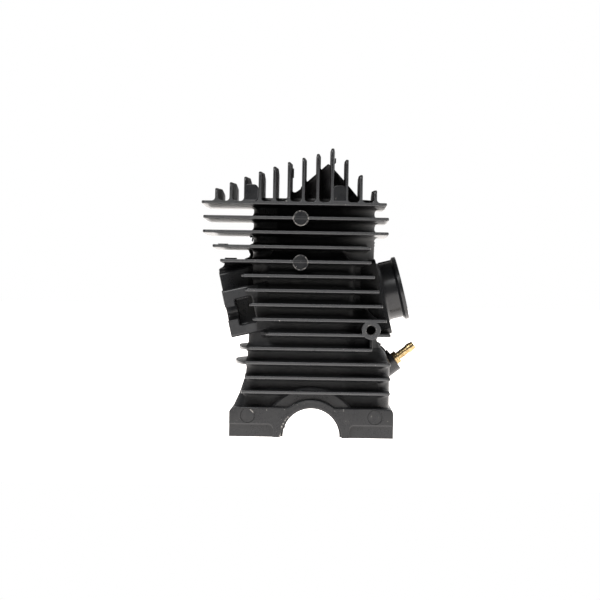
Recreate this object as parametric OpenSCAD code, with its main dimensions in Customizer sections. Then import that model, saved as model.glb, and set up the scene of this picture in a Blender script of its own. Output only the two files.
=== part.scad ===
// Air-cooled two-stroke cylinder for a small saw engine: closed head, finned barrel, ports and
// upper crankcase half in one casting, with its pulse nipple, and the piston set that runs in it.
// The bore axis is Z. The crank axis is Y and lies in the base face, z = 0.
// +X is the intake side, -X the exhaust side.

/* [Bore and stroke] */
// Diameter of the bore
bore_d = 47; // [46:0.1:47.4]
// Stroke of the piston
stroke = 34; // [30:0.5:34]
// Height of the squish step, where the bore ends
squish_z = 100.2; // [99.5:0.1:100.6]
// Height of the combustion dome above the squish step
dome_h = 10; // [9:0.5:10.5]

/* [Base block] */
// Width of the base block
base_w = 79; // [77:0.5:80]
// Half depth of the base block, bore axis to front face
base_y = 41.2; // [40:0.1:42]
// Height of the base block
base_h = 14.3; // [13:0.1:15]
// Distance between the base bolts, both ways
bolt_pitch = 62; // [60:0.5:63]
// Tapping radius of the base bolt holes
bolt_r = 2.5; // [2.1:0.1:3]

/* [Crank line] */
// Radius of the seats for the crankshaft seals
seal_r = 14.65; // [14.2:0.05:15]
// Radius of the seats for the main bearings
bearing_r = 17.5; // [16:0.5:17.5]
// Radius of the room that the crank webs turn in
web_r = 33; // [31:0.5:33]

/* [Cooling fins] */
// Distance from one fin to the next
fin_pitch = 7; // [6.9:0.05:7]
// Thickness of a fin
fin_t = 1.8; // [1.4:0.1:2.2]
// Half depth of the fins, bore axis to front edge
fin_y = 41; // [39:0.5:41]
// Distance from one blade on the head to the next
blade_pitch = 6.94; // [6.8:0.01:7]
// Thickness of a blade
blade_t = 1.9; // [1.5:0.1:2.2]

/* [Ports] */
// Downward tilt of the exhaust face, degrees
exhaust_tilt = 13; // [12:0.5:14]
// Upward tilt of the intake spigot, degrees
intake_tilt = 14.3; // [13.5:0.1:15]
// Outer radius of the intake spigot
spigot_r = 14.2; // [13.6:0.1:14.6]
// Outer radius of the rim on the spigot
rim_r = 15.8; // [15.2:0.1:16]
// Elevation of the plug hole above horizontal, degrees
plug_tilt = 41.4; // [40:0.2:43]
// Radius of the threaded plug hole
plug_r = 6.35; // [6:0.05:6.5]

/* [Piston set] */
// Radial gap between piston skirt and bore
skirt_gap = 0.06; // [0.03:0.01:0.1]
// Radius of the gudgeon pin hole
pin_hole_r = 5; // [4.9:0.05:5.1]
// Length of the gudgeon pin
pin_len = 34; // [32:0.5:34]

/* [Hidden] */
$fn = 72;

bore_r = bore_d / 2;
bore_foot_z = 21;          // lower end of the bore's wall
wall = 6.2;                // barrel wall outside the bore
root_r = bore_r + wall;    // outside of the barrel between the fins
through = 0.5;             // overrun of a cut past the face it opens
bite = 1;                  // depth that a boss reaches into the wall behind it

// Dome of the combustion chamber: a spherical cap on the squish step
dome_base_r = 18;
dome_r = (dome_base_r * dome_base_r + dome_h * dome_h) / (2 * dome_h);
dome_z = squish_z + dome_h;

// Crank line, front to back: seal seat, lip, bearing seat, shoulder, web room
lip_r = seal_r - 0.95;
shoulder_r = bearing_r - 2;
web_y = 17.5;
bearing_y = [18.5, 29.5];
lip_y = 34;
ring_r = seal_r + 3.55;    // raised ring round the arch
housing_r = bearing_r + 6.5;
housing_y = 37;
pad_x = 18.5;              // the pads at the base corners start here
pad_h = 6.4;
pad_deep = 2.8;

// Fins, counted from the bottom: where each one ends on the left and on the right
fin_z0 = 21.5;
fin_left = [-34.7, -33.1, -38, -36.4, -25.5, -29, -30.7, -33, -34.6, -45.1, -48.8, -53.6, -53.5, -54.4];
fin_right = [37.7, 37.7, 37.8, 28.6, 37.6, 35.6, 33.6, 31.8, 29.5, 27.7, 27.4, 35.8, 35.8, 34.7];
fin_n = len(fin_left);
fin_bow = [1, 1, 6.5, 6.5, 4.5];   // how far the left end of a lower fin bows out at mid depth
roof_z = fin_z0 + (fin_n - 1) * fin_pitch;

// Blades on the head, counted from the left
blade_x0 = -47.2;
blade_n = 12;
ridge = 8;                 // the tallest blade
ridge_z = 139.1;
blade_crown = 1.1;         // a blade is this much taller at mid depth than at its ends
function blade_x(i) = blade_x0 + i * blade_pitch;
function blade_top(i) = i < ridge ? 119.2 + 3 * i - 0.078 * i * i
                      : i == ridge ? ridge_z : 133.8 - 7.25 * (i - ridge - 1);

// Transfer bulge and lower body, as [left x, right x, half depth, bottom z, top z]
bulge = [-25, 19.5, 33, 13, 84];
lower = [-31, 31, 30, 13, 58];
chest = [0, 37.7, 30, 13, 40];

// Exhaust port: the frame sits at the middle of the flange face, x runs inward
exhaust_at = [-42.9, 0, 63.05];
flange_h = 32.4;
duct_y = 20;
duct_arch = [12, 19.3];    // half width and top of the raised middle of the flange
lug_y = 33;
lug_top = 7;
slot_r = 3.25;             // bolt slot in each lug, open to the side
slot_y = 27;
slot_z = -4.7;
pocket_x = [5.3, 13.5];    // nut pocket behind the slot
pocket_h = 12.8;
exhaust_duct = [27, 13, 5];       // width, height and corner radius
exhaust_window = [-13.5, 13.5, 65, 77];

// Intake port: the frame sits at the middle of the spigot's rim, x runs outward
intake_at = [43.9, 0, 72.8];
rim_l = 2.1;
spigot_l = 10.2;
intake_flange_y = 19;
intake_duct_r = 11.3;
intake_depth = 11;         // the round part of the passage is this deep
intake_elbow = 6;          // the passage turns down this far behind the rim
elbow_at = [intake_at[0] - intake_elbow * cos(intake_tilt), intake_at[2] - intake_elbow * sin(intake_tilt)];
intake_slot = [20, 7];     // width and height of the duct below the elbow
intake_window_z = 49;

// Plug boss: the frame sits at the middle of its face, z runs outward
plug_at = [14.9, 0, 124.2];
plug_boss_r = 13;
plug_recess_r = 10.8;
plug_recess = 8;
plug_reach = 13.2;         // thread from the seat to the dome

// Pulse passage: the frame sits at the middle of the boss face, z runs outward
pulse_at = [40.2, -10, 37.6];
pulse_tilt = 37.5;
pulse_boss_r = 5.8;
pulse_hole_r = 1.6;
pulse_press_r = 2.5;
pulse_press_l = 6;
pulse_len = 24;

// Threaded accessory boss on the front, and ejector posts
tap_at = [28.1, 52.1];
tap_boss_r = 4.6;
tap_r = 2.1;
tap_deep = 12;
post_r = 3.8;
post_at = [[-6.5, 105.4], [-6.4, 84.1]];
top_post_w = 6.8;
top_post_r = 2.2;
top_post_x = [blade_x(2.4), blade_x(ridge + 0.53)];
top_post_z = 121.3;

// Transfer ducts, two on each side of the bore
transfer_x = [2, 13];
transfer_y = [25, 29.5];
transfer_z = [22, 73];
transfer_foot_z = 34;
transfer_top_z = 65;
transfer_in_y = 17;

// Piston at the top of its stroke
piston_r = bore_r - skirt_gap;
crown_z = squish_z - 1.2;
skirt_z = crown_z - 44;
pin_z = crown_z - 24;
cavity_r = 20.5;
cavity_top = crown_z - 11;
crown_room_r = 18.5;
crown_t = 4.7;
pin_boss_r = 8.5;
pin_boss_y = 7.8;
groove_h = 1.56;
groove_r = bore_r - 2.3;
groove_z = [crown_z - 4.5, crown_z - 9];
clip_y = 17.8;
clip_groove_w = 1.2;
clip_groove_r = pin_hole_r + 0.5;
clip_wire_r = 0.5;
ring_h = 1.5;
ring_out_r = bore_r - 0.01;
ring_in_r = bore_r - 2.1;
ring_gap = 0.4;
peg_r = 0.6;               // locating peg in each ring groove
peg_turn = [60, 120];      // where the pegs stand, degrees round the bore from +X
skirt_arch_r = 9.5;

// Small-end bearing
pin_r = pin_hole_r - 0.02;
needle_r = 1;
needle_l = 11;
needle_n = 12;
needle_ring_r = pin_hole_r + needle_r;
cage_in_r = pin_hole_r + 0.3;
cage_out_r = needle_ring_r + 0.7;
cage_l = 14;
needle_play = 0.05;

black = [0.13, 0.13, 0.14];
brass = [0.72, 0.55, 0.25];
alloy = [0.75, 0.76, 0.77];
steel = [0.6, 0.61, 0.63];
iron = [0.4, 0.4, 0.41];

// ---- Shapes used by several pieces ----

// A box from its limits in x, y and z
module span(x, y, z) {
    translate([x[0], y[0], z[0]]) cube([x[1] - x[0], y[1] - y[0], z[1] - z[0]]);
}

// A box centred on y = 0
module slab(x, half_y, z) {
    span(x, [-half_y, half_y], z);
}

// A rod along Y
module rod_y(r, y) {
    translate([0, y[0], 0]) rotate([-90, 0, 0]) cylinder(r = r, h = y[1] - y[0]);
}

// A flat outline in x and z, drawn through the depth y
module through_y(y) {
    translate([0, y[1], 0]) rotate([90, 0, 0]) linear_extrude(y[1] - y[0]) children();
}

// A rectangle from its limits, with round corners
module round_rect(x, y, r) {
    translate([x[0] + r, y[0]]) square([x[1] - x[0] - 2 * r, y[1] - y[0]]);
    translate([x[0], y[0] + r]) square([x[1] - x[0], y[1] - y[0] - 2 * r]);
    for (cx = [x[0] + r, x[1] - r], cy = [y[0] + r, y[1] - r])
        translate([cx, cy]) circle(r);
}

// An upright block with round corners, from [left, right, half depth, bottom, top]
module pillar(b, r) {
    translate([0, 0, b[3]]) linear_extrude(b[4] - b[3]) round_rect([b[0], b[1]], [-b[2], b[2]], r);
}

module both_ends() {
    children();
    mirror([0, 1, 0]) children();
}

// ---- Frames of the ports and bosses ----

module at_exhaust() {
    translate(exhaust_at) rotate([0, -exhaust_tilt, 0]) children();
}

module at_intake() {
    translate(intake_at) rotate([0, -intake_tilt, 0]) children();
}

module at_plug() {
    translate(plug_at) rotate([0, 90 - plug_tilt, 0]) children();
}

module at_pulse() {
    translate(pulse_at) rotate([0, 90 - pulse_tilt, 0]) children();
}

// ---- Casting: what is added ----

module base_block() {
    half = base_w / 2;
    chamfer = 1.9;
    difference() {
        through_y([-base_y, base_y])
            polygon([[-half, 0], [half, 0], [half, base_h - chamfer], [half - chamfer, base_h],
                     [-half + 1.4 * chamfer, base_h], [-half, base_h - chamfer]]);
        for (side = [0, 1])
            mirror([side, 0, 0]) both_ends()
                through_y([base_y - pad_deep, base_y + through])
                    difference() {
                        round_rect([pad_x, half + 5], [-5, pad_h], 2.5);
                        translate([half + 0.01, -6]) square([6, pad_h + 12]);
                    }
    }
    rod_y(ring_r, [-base_y, base_y]);
    rod_y(housing_r, [-housing_y, housing_y]);
}

module barrel() {
    pillar_top = 50;
    translate([0, 0, pillar_top]) cylinder(r = root_r, h = roof_z - pillar_top);
    pillar([-root_r, 0, 26, pillar_top, roof_z], 4);
    pillar(bulge, 5);
    pillar(lower, 6);
    pillar(chest, 6);
    translate([0, 0, roof_z - bite]) cylinder(r = 26, h = 3.4);
}

// Web between the exhaust-side wall and the base
module base_gusset() {
    through_y([-30, 30]) polygon([[-28, 30], [-32.5, 30], [-34, 26], [-37, 18], [-38.6, 13], [-28, 13]]);
}

module fin(i) {
    x = [fin_left[i], fin_right[i]];
    bow = i < len(fin_bow) ? fin_bow[i] : 0;
    bow_r = bow > 0 ? (fin_y * fin_y + bow * bow) / (2 * bow) : 0;
    translate([0, 0, fin_z0 + i * fin_pitch - fin_t / 2]) linear_extrude(fin_t) {
        translate([x[0] + bow, -fin_y]) square([x[1] - x[0] - bow, 2 * fin_y]);
        if (bow > 0)
            intersection() {
                translate([x[0] + bow_r, 0]) circle(bow_r, $fn = 144);
                translate([x[0] - 1, -fin_y]) square([20, 2 * fin_y]);
            }
    }
}

module blade(i) {
    foot = roof_z - bite;
    top = blade_top(i);
    corner = 1.2;
    translate([blade_x(i) - blade_t / 2, 0, 0]) rotate([90, 0, 90]) linear_extrude(blade_t)
        polygon([[-fin_y, foot], [fin_y, foot], [fin_y, top - corner], [fin_y - corner, top],
                 [0, top + blade_crown], [-fin_y + corner, top], [-fin_y, top - corner]]);
}

// Web that climbs over the blades to the plug boss
module hump() {
    through_y([-11, 11])
        polygon([[-20, 112], [-8.6, 119.7], [-1.8, 124.8], [3.5, 129.3], [6.8, 132.6], [9, 130.3],
                 [20.6, 117.1], [24, 113]]);
    at_plug() translate([0, 0, -19]) cylinder(r = plug_boss_r, h = 19);
}

module ejector_posts() {
    for (p = post_at)
        translate([p[0], 0, p[1]]) rod_y(post_r, [-fin_y, -20]);
    for (x = top_post_x)
        through_y([-fin_y, -32])
            round_rect([x - top_post_w / 2, x + top_post_w / 2], [roof_z - 2, top_post_z], top_post_r);
}

module tap_boss() {
    translate([tap_at[0], 0, tap_at[1]]) rod_y(tap_boss_r, [-fin_y, -20]);
    span([27.6, 29], [-36, -25], [42, tap_at[1]]);
}

module exhaust_flange() {
    at_exhaust() {
        slab([0, 25], duct_y, [-flange_h / 2, flange_h / 2]);
        slab([0, 25], duct_arch[0], [0, duct_arch[1]]);
        slab([0, 22], lug_y, [-flange_h / 2, lug_top]);
    }
}

module intake_flange() {
    at_intake() {
        slab([-28, -spigot_l], intake_flange_y, [-20.5, 17]);
        rotate([0, -90, 0]) cylinder(r = rim_r, h = rim_l);
        rotate([0, -90, 0]) cylinder(r = spigot_r, h = spigot_l + bite);
    }
}

module pulse_boss() {
    at_pulse() translate([0, 0, -16]) cylinder(r = pulse_boss_r, h = 16);
}

// ---- Casting: what is cut away ----

module bore_and_dome() {
    translate([0, 0, bore_foot_z]) cylinder(r = bore_r, h = squish_z - bore_foot_z);
    intersection() {
        translate([0, 0, dome_z - dome_r]) sphere(dome_r);
        translate([0, 0, squish_z - through]) cylinder(r = dome_base_r + 2, h = dome_h + 2);
    }
}

module crank_line() {
    rod_y(lip_r, [-base_y - 1, base_y + 1]);
    rod_y(shoulder_r, [-bearing_y[0], bearing_y[0]]);
    rod_y(web_r, [-web_y, web_y]);
    both_ends() {
        rod_y(bearing_r, bearing_y);
        rod_y(seal_r, [lip_y, base_y + 1]);
    }
}

module base_bolt_holes() {
    for (x = [-1, 1], y = [-1, 1])
        translate([x * bolt_pitch / 2, y * bolt_pitch / 2, -1]) cylinder(r = bolt_r, h = 14);
}

module exhaust_passage() {
    at_exhaust() {
        rotate([90, 0, 90]) translate([0, 3, -1]) linear_extrude(16)
            round_rect([-exhaust_duct[0] / 2, exhaust_duct[0] / 2],
                       [-exhaust_duct[1] / 2, exhaust_duct[1] / 2], exhaust_duct[2]);
    }
    span([-31, -bore_r + 5], [exhaust_window[0], exhaust_window[1]], [exhaust_window[2], exhaust_window[3]]);
    both_ends() at_exhaust() {
        translate([-1, slot_y, slot_z]) rotate([0, 90, 0]) cylinder(r = slot_r, h = pocket_x[0] + 2);
        span([-1, pocket_x[0] + 1], [slot_y, lug_y + 1], [slot_z - slot_r, slot_z + slot_r]);
        span(pocket_x, [duct_y + 0.5, lug_y + 1], [slot_z - pocket_h / 2, slot_z + pocket_h / 2]);
    }
}

// The passage bends down behind the spigot, to a window that the piston skirt uncovers
module intake_passage() {
    at_intake() translate([1, 0, 0]) rotate([0, -90, 0]) cylinder(r = intake_duct_r, h = intake_depth + 1);
    fall = atan2(elbow_at[1] - intake_window_z, elbow_at[0] - bore_r);
    reach = norm([elbow_at[1] - intake_window_z, elbow_at[0] - bore_r]);
    translate([elbow_at[0], 0, elbow_at[1]]) rotate([0, 180 - fall, 0])
        slab([0, reach + 8], intake_slot[0] / 2, [-intake_slot[1] / 2, intake_slot[1] / 2]);
}

module transfers() {
    both_ends() for (side = [0, 1]) mirror([side, 0, 0]) {
        span(transfer_x, transfer_y, transfer_z);
        span(transfer_x, [transfer_in_y, transfer_y[0] + 1], [transfer_z[0], transfer_foot_z]);
        span(transfer_x, [transfer_in_y, transfer_y[0] + 1], [transfer_top_z, transfer_z[1]]);
    }
}

module plug_hole() {
    at_plug() {
        translate([0, 0, -plug_recess]) cylinder(r = plug_recess_r, h = 40);
        translate([0, 0, -plug_recess - plug_reach - 2]) cylinder(r = plug_r, h = plug_reach + 3);
    }
}

module pulse_passage() {
    at_pulse() {
        translate([0, 0, -pulse_press_l]) cylinder(r = pulse_press_r, h = pulse_press_l + 1);
        translate([0, 0, -pulse_len]) cylinder(r = pulse_hole_r, h = pulse_len);
    }
}

module tap_hole() {
    translate([tap_at[0], 0, tap_at[1]]) rod_y(tap_r, [-fin_y - 1, -fin_y + tap_deep]);
}

module cylinder_casting() {
    color(black) difference() {
        union() {
            base_block();
            barrel();
            base_gusset();
            for (i = [0 : fin_n - 1]) fin(i);
            for (i = [0 : blade_n - 1]) blade(i);
            hump();
            ejector_posts();
            tap_boss();
            exhaust_flange();
            intake_flange();
            pulse_boss();
        }
        span([-60, 60], [-60, 60], [-60, 0]);
        bore_and_dome();
        crank_line();
        base_bolt_holes();
        exhaust_passage();
        intake_passage();
        transfers();
        plug_hole();
        pulse_passage();
        tap_hole();
    }
}

// ---- Pulse nipple, pressed into its boss ----

module impulse_nipple() {
    color(brass) at_pulse() difference() {
        union() {
            translate([0, 0, -pulse_press_l + 0.2]) cylinder(r = pulse_press_r, h = pulse_press_l);
            cylinder(r = 3.2, h = 2.4);
            cylinder(r = 1.95, h = 9);
            translate([0, 0, 4.6]) cylinder(r = 2.15, h = 0.6);
            translate([0, 0, 8.2]) cylinder(r = 2.25, h = 1.5);
            translate([0, 0, 9.7]) cylinder(r1 = 2.25, r2 = 1.75, h = 2.3);
        }
        translate([0, 0, -pulse_press_l - 1]) cylinder(r = 1.2, h = pulse_press_l + 15);
    }
}

// ---- Piston ----

module piston_shell() {
    difference() {
        translate([0, 0, skirt_z]) cylinder(r = piston_r, h = crown_z - skirt_z);
        translate([0, 0, skirt_z - 1]) cylinder(r = cavity_r, h = cavity_top - skirt_z + 1);
        translate([0, 0, cavity_top - 1]) cylinder(r = crown_room_r, h = crown_z - crown_t - cavity_top + 1);
    }
}

module piston() {
    color(alloy) difference() {
        union() {
            piston_shell();
            intersection() {
                translate([0, 0, skirt_z]) cylinder(r = cavity_r + 1, h = crown_z - crown_t / 2 - skirt_z);
                both_ends() {
                    translate([0, 0, pin_z]) rod_y(pin_boss_r, [pin_boss_y, bore_r]);
                    span([-3, 3], [pin_boss_y, bore_r], [pin_z, crown_z - 1]);
                }
            }
        }
        translate([0, 0, pin_z]) rod_y(pin_hole_r, [-bore_r - 1, bore_r + 1]);
        both_ends() {
            translate([0, 0, pin_z])
                rod_y(clip_groove_r, [clip_y - clip_groove_w / 2, clip_y + clip_groove_w / 2]);
            translate([0, 0, skirt_z]) rod_y(skirt_arch_r, [12, bore_r + 1]);
        }
        for (z = groove_z)
            translate([0, 0, z - groove_h / 2]) difference() {
                cylinder(r = bore_r + 1, h = groove_h);
                translate([0, 0, -1]) cylinder(r = groove_r, h = groove_h + 2);
            }
        ring_pegs(0.01);
    }
}

// ---- Rings, with a gap that straddles a locating peg ----

module ring_pegs(play) {
    for (k = [0, 1])
        translate([0, 0, groove_z[k]]) rotate([0, 90, peg_turn[k]])
            translate([0, 0, groove_r - 1.4]) cylinder(r = peg_r + play, h = 2.6, $fn = 32);
}

module piston_ring(k) {
    color(iron) translate([0, 0, groove_z[k] - ring_h / 2]) difference() {
        cylinder(r = ring_out_r, h = ring_h);
        translate([0, 0, -1]) cylinder(r = ring_in_r, h = ring_h + 2);
        rotate([0, 0, peg_turn[k]]) {
            translate([0, -ring_gap / 2, -1]) cube([bore_r + 1, ring_gap, ring_h + 2]);
            translate([0, -peg_r - 0.15, -1]) cube([groove_r + 1.35, 2 * peg_r + 0.3, ring_h + 2]);
        }
    }
}

module top_ring() {
    piston_ring(0);
}

module second_ring() {
    piston_ring(1);
}

module ring_pins() {
    color(steel) ring_pegs(0);
}

// ---- Gudgeon pin and the clips that keep it in ----

module circlip() {
    color(steel) translate([0, clip_y, pin_z]) rotate([-90, 60, 0])
        rotate_extrude(angle = 300) translate([clip_groove_r - clip_wire_r - 0.02, 0]) circle(clip_wire_r, $fn = 32);
}

module circlip_front() {
    mirror([0, 1, 0]) circlip();
}

module circlip_rear() {
    circlip();
}

module gudgeon_pin() {
    color(steel) translate([0, 0, pin_z]) difference() {
        rod_y(pin_r, [-pin_len / 2, pin_len / 2]);
        rod_y(3, [-pin_len / 2 - 1, pin_len / 2 + 1]);
    }
}

// ---- Small-end needle bearing ----

module round_the_pin() {
    for (i = [0 : needle_n - 1])
        translate([0, 0, pin_z]) rotate([0, i * 360 / needle_n, 0]) translate([0, 0, needle_ring_r]) children();
}

module bearing_cage() {
    color(steel) difference() {
        translate([0, 0, pin_z]) difference() {
            rod_y(cage_out_r, [-cage_l / 2, cage_l / 2]);
            rod_y(cage_in_r, [-cage_l / 2 - 1, cage_l / 2 + 1]);
        }
        round_the_pin() slab([-needle_r - needle_play, needle_r + needle_play],
                             needle_l / 2 + needle_play, [-2, 2]);
    }
}

module needle_rollers() {
    color(alloy) round_the_pin() rod_y(needle_r, [-needle_l / 2, needle_l / 2]);
}

cylinder_casting();
impulse_nipple();
piston();
top_ring();
second_ring();
ring_pins();
circlip_front();
circlip_rear();
gudgeon_pin();
bearing_cage();
needle_rollers();
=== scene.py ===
"""Finished look of an air-cooled two-stroke saw cylinder with its piston set.

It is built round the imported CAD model, whose bodies and nodes it dresses.
"""
import math

import bmesh
import bpy
import numpy as np
from mathutils import Matrix, Vector


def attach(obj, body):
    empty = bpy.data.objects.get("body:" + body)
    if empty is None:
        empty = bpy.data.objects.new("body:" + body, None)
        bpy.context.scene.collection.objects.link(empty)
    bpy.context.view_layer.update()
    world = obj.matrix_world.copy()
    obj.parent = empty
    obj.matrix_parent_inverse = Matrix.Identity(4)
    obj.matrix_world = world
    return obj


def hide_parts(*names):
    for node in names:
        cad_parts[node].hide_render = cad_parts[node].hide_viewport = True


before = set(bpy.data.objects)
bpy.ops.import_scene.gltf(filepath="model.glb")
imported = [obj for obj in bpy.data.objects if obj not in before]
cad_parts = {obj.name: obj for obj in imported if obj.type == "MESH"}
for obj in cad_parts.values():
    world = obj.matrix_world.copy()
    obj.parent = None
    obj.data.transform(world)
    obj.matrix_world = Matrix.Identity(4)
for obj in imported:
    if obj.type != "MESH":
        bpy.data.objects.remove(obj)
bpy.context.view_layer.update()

# ---- Cylinder casting ------------------------------------------------------------------------
# The real piece is one die-casting in aluminium: closed head, finned barrel, ports and the upper
# half of the crankcase. The dies part on y = 0, so every fin thins towards the front and back.
# It is painted satin black; the bore, the crank seats and the joint faces are machined bare.
MM = 0.001          # the sizes below are in millimetres
FIN_Z0 = 21.5       # middle of the lowest fin
FIN_PITCH = 7.0
FIN_Y = 41.0        # half the depth of a fin, front to back
# Where each fin ends at the left and at the right, from the lowest up, and how far the left
# edges of the lowest ones swell out.
FIN_LEFT = (-34.7, -33.1, -38.0, -36.4, -25.5, -29.0, -30.7, -33.0, -34.6, -45.1, -48.8, -53.6, -53.5, -54.4)
FIN_RIGHT = (37.7, 37.7, 37.8, 28.6, 37.6, 35.6, 33.6, 31.8, 29.5, 27.7, 27.4, 35.8, 35.8, 34.7)
FIN_BOW = (1.0, 1.0, 6.5, 6.5, 4.5)
FIN_EDGE_T = 1.45   # thickness at the front and back edges
FIN_DRAFT = 0.011   # what half the thickness gains for each millimetre of depth
EDGE_R = 0.4
ROOT_FILLET = 2.0
FIN_CORNER = 1.6
FIN_COUNT = len(FIN_LEFT)
ROOF_Z = FIN_Z0 + (FIN_COUNT - 1) * FIN_PITCH
BLADE_COUNT = 12
RIDGE_BLADE = 8     # the tallest blade, counted from the left
BORE_R = 23.5
BEND = 0.29         # how far a quarter round's middle lies from its two faces, for a radius of 1


def half_thickness(y, edge=FIN_EDGE_T, draft=FIN_DRAFT):
    """Half the thickness of a drafted fin or blade at depth y."""
    return edge / 2 + (FIN_Y - min(abs(y), FIN_Y)) * draft


def solid(name, points, faces):
    """A closed mesh object from points in millimetres."""
    mesh = bpy.data.meshes.new(name)
    mesh.from_pydata([[c * MM for c in p] for p in points], [], faces)
    work = bmesh.new()
    work.from_mesh(mesh)
    bmesh.ops.remove_doubles(work, verts=work.verts, dist=1e-7)
    bmesh.ops.recalc_face_normals(work, faces=work.faces)
    work.to_mesh(mesh)
    work.free()
    piece = bpy.data.objects.new(name, mesh)
    bpy.context.scene.collection.objects.link(piece)
    return piece


def stack(name, rings, end_faces=None):
    """A solid from closed rings of equal count; end_faces gives the faces of the last ring, by index."""
    count = len(rings[0])
    faces = []
    for k in range(len(rings) - 1):
        a, b = k * count, (k + 1) * count
        faces += [(a + i, a + (i + 1) % count, b + (i + 1) % count, b + i) for i in range(count)]
    ends = [tuple(range(count))] if end_faces is None else end_faces
    last = (len(rings) - 1) * count
    faces += [tuple(reversed(f)) for f in ends]
    faces += [tuple(last + i for i in f) for f in ends]
    return solid(name, [p for ring in rings for p in ring], faces)


def combine(base, tools, operation):
    """One exact boolean of a piece with several others, which are used up."""
    folder = bpy.data.collections.new("tools")
    bpy.context.scene.collection.children.link(folder)
    for tool in tools:
        folder.objects.link(tool)
    step = base.modifiers.new("combine", "BOOLEAN")
    step.operation, step.solver = operation, "MANIFOLD"
    step.operand_type, step.collection = "COLLECTION", folder
    graph = bpy.context.evaluated_depsgraph_get()
    mesh = bpy.data.meshes.new_from_object(base.evaluated_get(graph))
    base.modifiers.clear()
    base.data = mesh
    for tool in tools:
        bpy.data.objects.remove(tool)
    bpy.data.collections.remove(folder)
    return base


def arc(cx, cy, r, start, end, steps):
    """Points of an arc, angles in degrees."""
    turns = [math.radians(start + (end - start) * k / steps) for k in range(steps + 1)]
    return [(cx + r * math.cos(t), cy + r * math.sin(t)) for t in turns]


def round_box(x, y, r, steps=5):
    """Outline of a rectangle with round corners of radius r, anticlockwise."""
    corners = ((x[1], y[0], -1, 1, -90), (x[1], y[1], -1, -1, 0),
               (x[0], y[1], 1, -1, 90), (x[0], y[0], 1, 1, 180))
    outline = []
    for cx, cy, sx, sy, start in corners:
        outline += arc(cx + sx * r, cy + sy * r, r, start, start + 90, steps)
    return outline


def inset(outline, d):
    """The outline moved inwards by d."""
    p = np.array(outline, float)
    edge = np.roll(p, -1, 0) - p
    edge /= np.maximum(np.linalg.norm(edge, axis=1), 1e-9)[:, None]
    normal = np.stack([-edge[:, 1], edge[:, 0]], 1)
    both = normal + np.roll(normal, 1, 0)
    both /= np.maximum((both * both).sum(1), 1e-9)[:, None] / 2
    return [tuple(q) for q in p + both * d]


def bar(name, outline, span, r, axis="y", frame_of=None):
    """An outline drawn from span[0] to span[1] along an axis, with its end edges rounded to r."""
    rings = []
    for d, at in ((r, span[0]), (r * BEND, span[0] + r * BEND), (0, span[0] + r),
                  (0, span[1] - r), (r * BEND, span[1] - r * BEND), (r, span[1])):
        flat = inset(outline, d) if d else outline
        if axis == "y":
            rings.append([(u, at, v) for u, v in flat])
        elif axis == "z":
            rings.append([(u, v, at) for u, v in flat])
        else:
            rings.append([(at, u, v) for u, v in flat])
    if frame_of:
        rings = [[tuple(frame_of @ Vector(p)) for p in ring] for ring in rings]
    return stack(name, rings)


def pocket(name, outline, floor, mouth, fillet, flare, frame_of=None):
    """A cut along y with a round floor edge and a bevelled mouth, from its floor out through the face."""
    out = 1 if mouth > floor else -1
    rings = []
    for d, at in ((fillet, floor), (fillet * BEND, floor + out * fillet * BEND), (0, floor + out * fillet),
                  (0, mouth - out * flare), (-flare, mouth), (-flare - 2, mouth + out * 2)):
        flat = inset(outline, d) if d else outline
        rings.append([(u, at, v) for u, v in flat])
    if frame_of:
        rings = [[tuple(frame_of @ Vector(p)) for p in ring] for ring in rings]
    return stack(name, rings)


def lathe(name, profile, place=Matrix(), count=64, hollow=False):
    """A turned solid from (radius, height) pairs, end to end, or round a closed section when hollow."""
    rings = []
    for r, h in profile + profile[:1] if hollow else profile:
        turns = [2 * math.pi * k / count for k in range(count)]
        rings.append([tuple(place @ Vector((r * math.cos(t), r * math.sin(t), h))) for t in turns])
    return stack(name, rings, [] if hollow else None)


def tapped(name, r, deep, pitch, span, place=Matrix(), count=32):
    """Cutter for the thread of a tapped hole: a helical groove that fades out at both ends."""
    rows = int(8 * (span[1] - span[0]) / pitch)
    rings = []
    for h in np.linspace(*span, rows):
        fade = min(1, (h - span[0]) / pitch, (span[1] - h) / pitch)
        ring = []
        for t in np.arange(count) * 2 * math.pi / count:
            wave = abs((h / pitch - t / (2 * math.pi)) % 1 * 2 - 1)
            out = r + deep * fade * min(1, max(0, 1.4 * wave - 0.2))
            ring.append(tuple(place @ Vector((out * math.cos(t), out * math.sin(t), h))))
        rings.append(ring)
    return stack(name, rings)


def looking(at, tilt):
    """Frame whose z axis points towards +X and up by tilt degrees, at a place in millimetres."""
    return Matrix.Translation(at) @ Matrix.Rotation(math.radians(90 - tilt), 4, "Y")


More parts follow.
